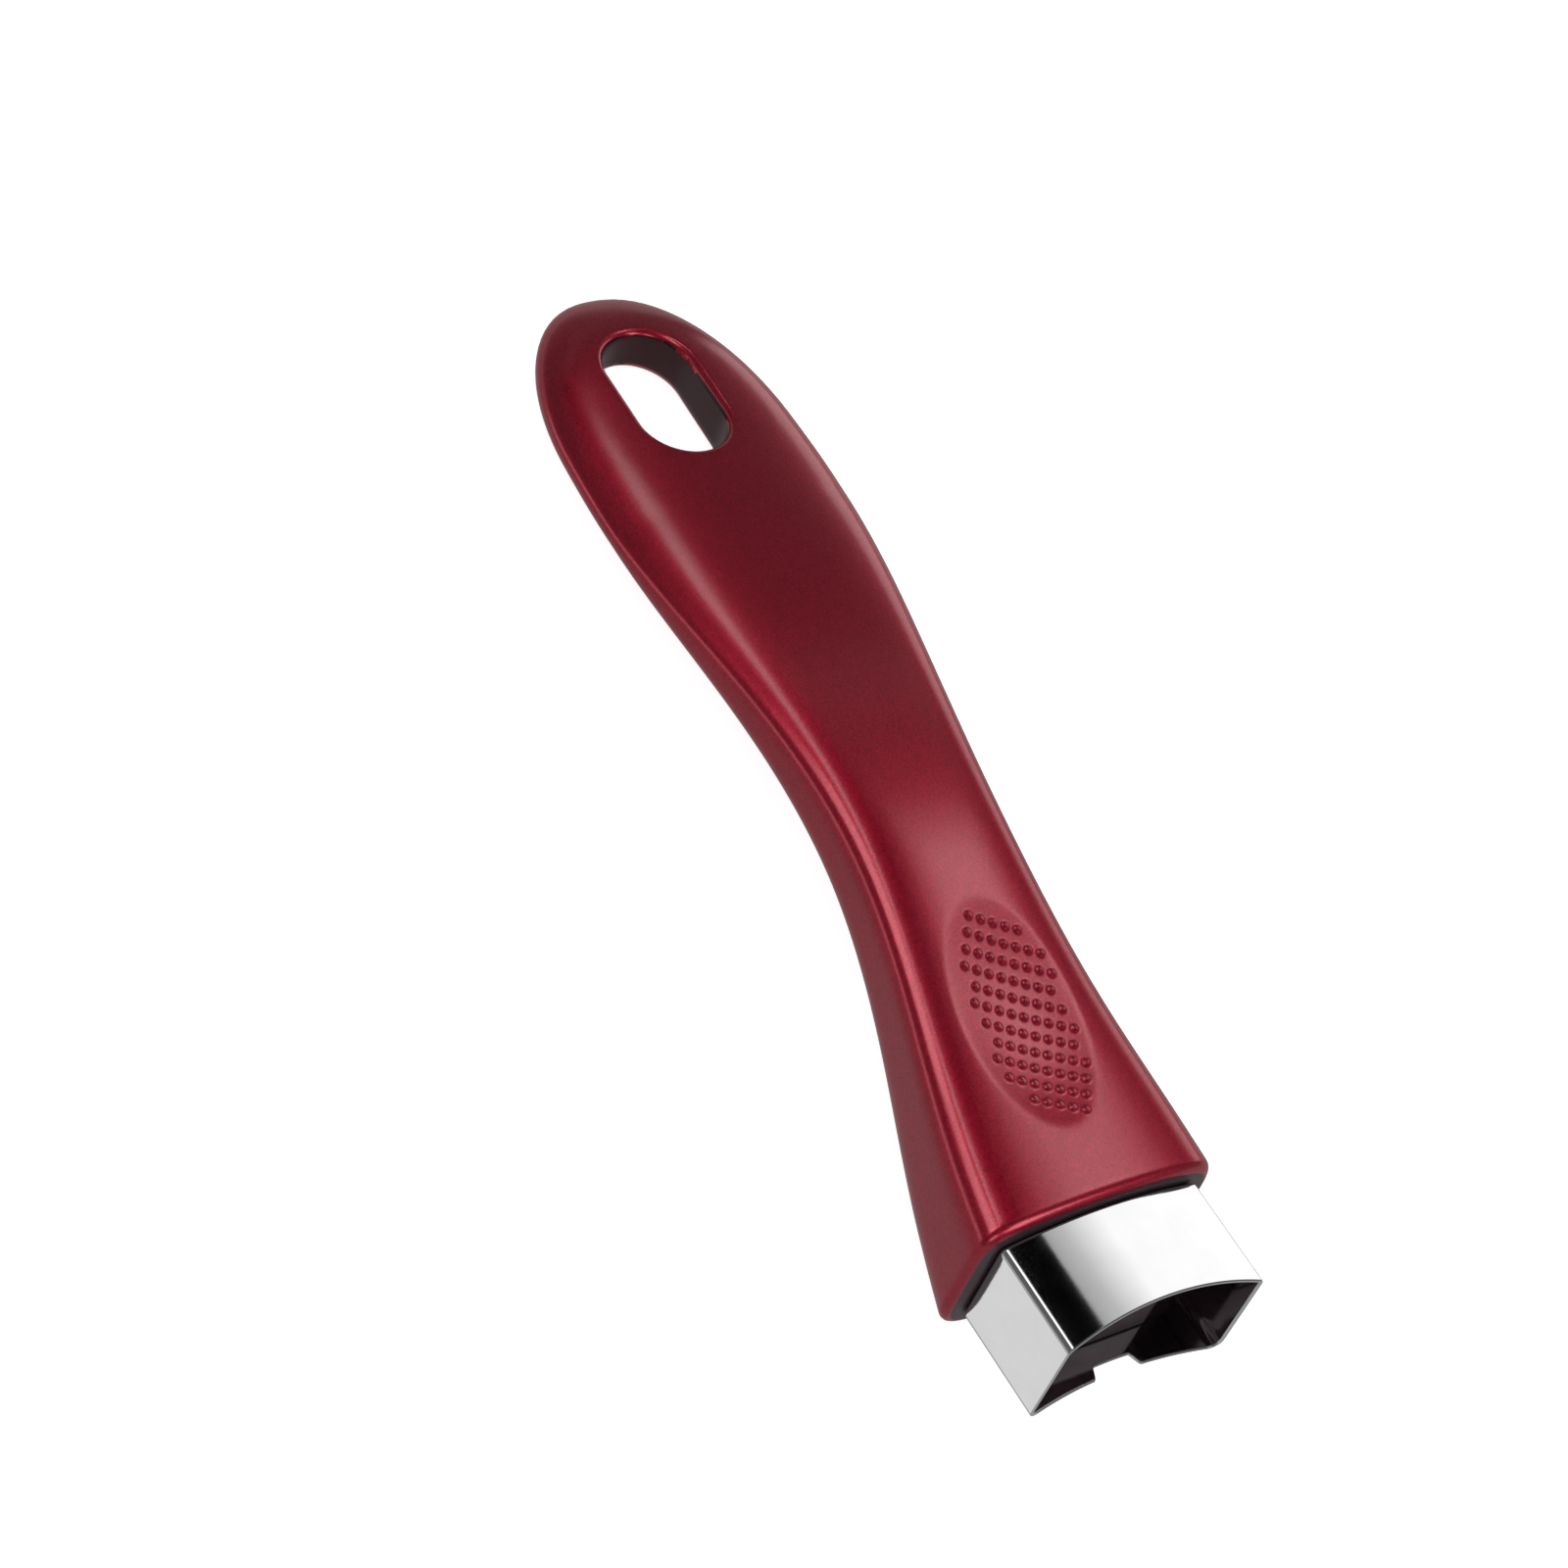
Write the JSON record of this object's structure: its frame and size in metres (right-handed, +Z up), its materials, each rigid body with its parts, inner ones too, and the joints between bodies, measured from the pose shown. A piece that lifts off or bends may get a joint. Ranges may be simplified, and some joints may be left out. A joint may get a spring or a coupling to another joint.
{
  "type": "cookware handle",
  "caption": "Long moulded pan handle with a hanging slot, dished thumb rest, polished flame guard, and a fixing screw with washers.",
  "frame": {"origin": "on the table, under the middle of the box of the handle as it lies level on its front lower edge and its tail", "axes": "+X towards the pan end, +Y to its left seen from the tail, +Z up out of the thumb-rest side; the guard's own axis rises 14.3 degrees above +X"},
  "size_m": [0.18, 0.041, 0.0246],
  "materials": {
    "burgundy_lacquer": "phenolic moulding under metallic burgundy lacquer and clear coat",
    "polished_steel": "mirror-polished stainless sheet",
    "zinc_plate": "bright zinc-plated steel",
    "spring_steel": "oiled dark spring steel"
  },
  "bodies": {
    "handle": {"grip": "burgundy_lacquer"},
    "guard": {"flame_guard": "polished_steel"},
    "washers": {"flat_washer": "zinc_plate", "spring_washer": "spring_steel"},
    "screw": {"fixing_screw": "zinc_plate"}
  },
  "joints": [
    {"name": "guard_slide", "type": "slide", "parent": "handle", "child": "guard", "axis": [0.969, 0, 0.247], "range_m": [0, 0.0105]},
    {"name": "screw_withdraw", "type": "slide", "parent": "handle", "child": "washers", "axis": [0.247, 0, -0.969], "range_m": [0, 0.0063]},
    {"name": "screw_turn", "type": "hinge", "parent": "washers", "child": "screw", "pos_m": [0.06574, 0, 0.00146], "axis": [0.247, 0, -0.969], "range_deg": [0, 3240]}
  ],
  "couplings": [
    {"joint": "screw_turn", "follows": "screw_withdraw", "rad_per_m": 8975.9}
  ]
}
